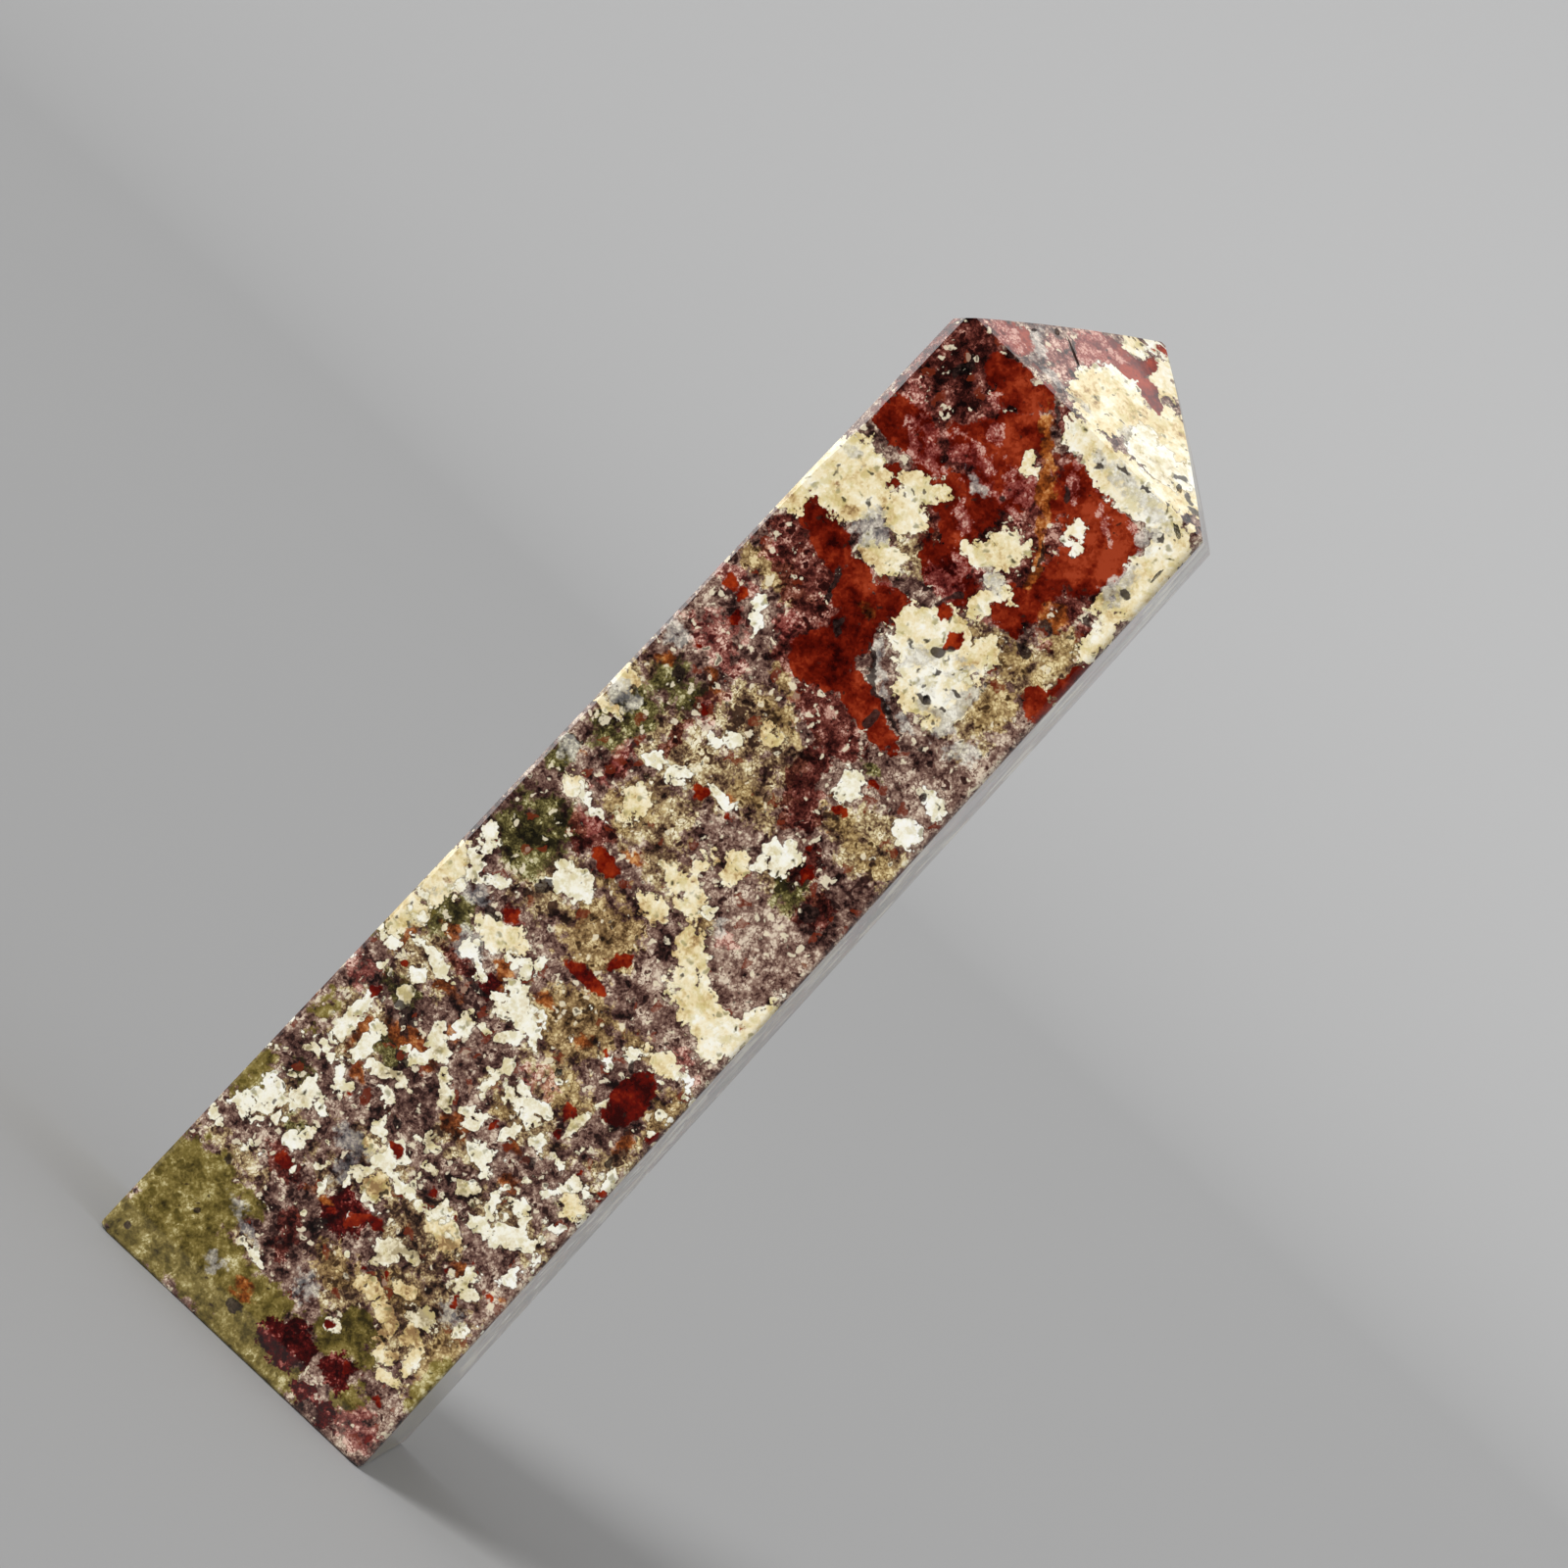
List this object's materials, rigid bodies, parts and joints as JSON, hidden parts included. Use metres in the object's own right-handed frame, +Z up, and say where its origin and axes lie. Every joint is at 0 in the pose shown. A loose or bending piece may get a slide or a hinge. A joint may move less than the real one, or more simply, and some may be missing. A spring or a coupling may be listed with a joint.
{
  "type": "red moss agate tower",
  "caption": "Polished stone tower with a square tapering body, a low faceted point and a flat base it stands on.",
  "frame": {"origin": "middle of the bounding box at the level of the flat base", "axes": "+Z up along the tower to its point, -Y out of the front face"},
  "size_m": [0.0196, 0.0196, 0.075],
  "materials": {
    "moss_agate": "hand-polished moss agate: red jasper, cream, olive and mauve moss in grey chalcedony, with a few open pits"
  },
  "bodies": {
    "root": {"tower": "moss_agate"}
  },
  "joints": []
}
